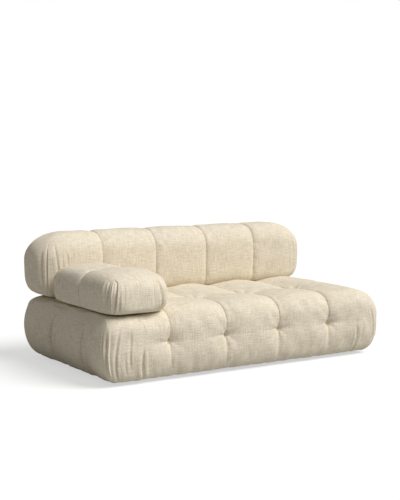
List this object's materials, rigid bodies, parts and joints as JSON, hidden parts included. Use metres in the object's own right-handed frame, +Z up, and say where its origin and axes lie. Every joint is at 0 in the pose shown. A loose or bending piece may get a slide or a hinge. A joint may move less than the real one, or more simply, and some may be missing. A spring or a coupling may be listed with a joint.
{
  "type": "sectional sofa module",
  "caption": "One-arm sectional sofa module: deep tufted seat block with a channelled back bolster and a low arm bolster that lift off plug-in steel tongues, and a coupling bar at the open end.",
  "frame": {"origin": "on the floor, under the middle of the sofa's box", "axes": "+X along the sofa to the sitter's left (the right of a viewer in front), +Y to the rear, +Z up; the front faces -Y and the arm is at -X"},
  "size_m": [1.7587, 1.0044, 0.6922],
  "materials": {
    "upholstery_cloth": "cream slub-woven upholstery cloth over fibre filling, matte",
    "foam": "open-cell polyurethane foam, matte",
    "plywood": "raw birch plywood",
    "timber": "planed pine, unfinished",
    "dust_cloth": "black non-woven dust cloth",
    "zinc_steel": "bright zinc plate",
    "glide_plastic": "black moulded glide",
    "tie_cord": "waxed tufting twine and cloth-covered button",
    "anchor_plastic": "white moulded washer"
  },
  "bodies": {
    "base": {"arm_tongue_front": "zinc_steel", "arm_tongue_rear": "zinc_steel", "back_tongue_left": "zinc_steel", "back_tongue_right": "zinc_steel", "corner_block_front_left": "timber", "corner_block_front_right": "timber", "corner_block_rear_left": "timber", "corner_block_rear_right": "timber", "coupling_block": "timber", "coupling_pivot": "zinc_steel", "dust_cover": "dust_cloth", "foot_front_left": "glide_plastic", "foot_front_right": "glide_plastic", "foot_middle_left": "glide_plastic", "foot_middle_right": "glide_plastic", "foot_rear_left": "glide_plastic", "foot_rear_right": "glide_plastic", "foot_screws": "zinc_steel", "front_rail": "timber", "front_tuft_ties": "tie_cord", "left_cross_rail": "timber", "left_end_rail": "timber", "rear_rail": "timber", "right_cross_rail": "timber", "right_end_rail": "timber", "seat_cover": "upholstery_cloth", "seat_deck": "plywood", "seat_foam": "foam", "seat_tuft_ties": "tie_cord", "tongue_screws": "zinc_steel", "tuft_anchors": "anchor_plastic"},
    "back": {"back_bottom_rail": "timber", "back_cover": "upholstery_cloth", "back_foam": "foam", "back_receiver_left": "zinc_steel", "back_receiver_right": "zinc_steel", "back_receiver_screws": "zinc_steel", "back_stile_left": "timber", "back_stile_left_inner": "timber", "back_stile_middle": "timber", "back_stile_right": "timber", "back_stile_right_inner": "timber", "back_top_rail": "timber"},
    "arm": {"arm_bottom_board": "plywood", "arm_cover": "upholstery_cloth", "arm_foam": "foam", "arm_receiver_front": "zinc_steel", "arm_receiver_rear": "zinc_steel", "arm_receiver_screws": "zinc_steel", "arm_spine_board": "plywood"},
    "coupling": {"coupling_bar": "zinc_steel"}
  },
  "joints": [
    {"name": "back_lift", "type": "slide", "parent": "base", "child": "back", "axis": [0, 0, 1], "range_m": [0, 0.15]},
    {"name": "arm_lift", "type": "slide", "parent": "base", "child": "arm", "axis": [0, 0, 1], "range_m": [0, 0.11]},
    {"name": "coupling_swing", "type": "hinge", "parent": "base", "child": "coupling", "pos_m": [0.711, -0.1, 0.013], "axis": [0, 0, -1], "range_deg": [0, 180]}
  ]
}
